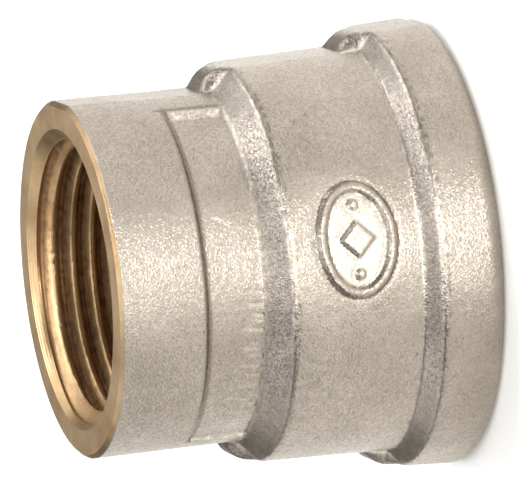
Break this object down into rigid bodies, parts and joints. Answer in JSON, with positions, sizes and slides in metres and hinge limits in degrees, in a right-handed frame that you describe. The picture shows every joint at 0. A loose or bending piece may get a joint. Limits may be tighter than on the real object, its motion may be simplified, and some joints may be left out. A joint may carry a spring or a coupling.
{
  "type": "reducing socket",
  "caption": "Nickel-plated brass reducing socket: a stepped round forging with an internal pipe thread at each end and a raised oval on its front.",
  "frame": {"origin": "centre of the large socket's end face, on the surface that the part stands on", "axes": "+Z along the bore axis, towards the small socket; -Y is the front with the raised oval; the parting lands are on the +X and -X sides"},
  "size_m": [0.041, 0.041, 0.035],
  "materials": {
    "bare_brass": "turned and threaded, bright, faint tool marks",
    "nickel_plate": "satin nickel over a fine shot-blasted forging skin"
  },
  "bodies": {
    "root": {"brass_body": "bare_brass", "nickel_plating": "nickel_plate"}
  },
  "joints": []
}
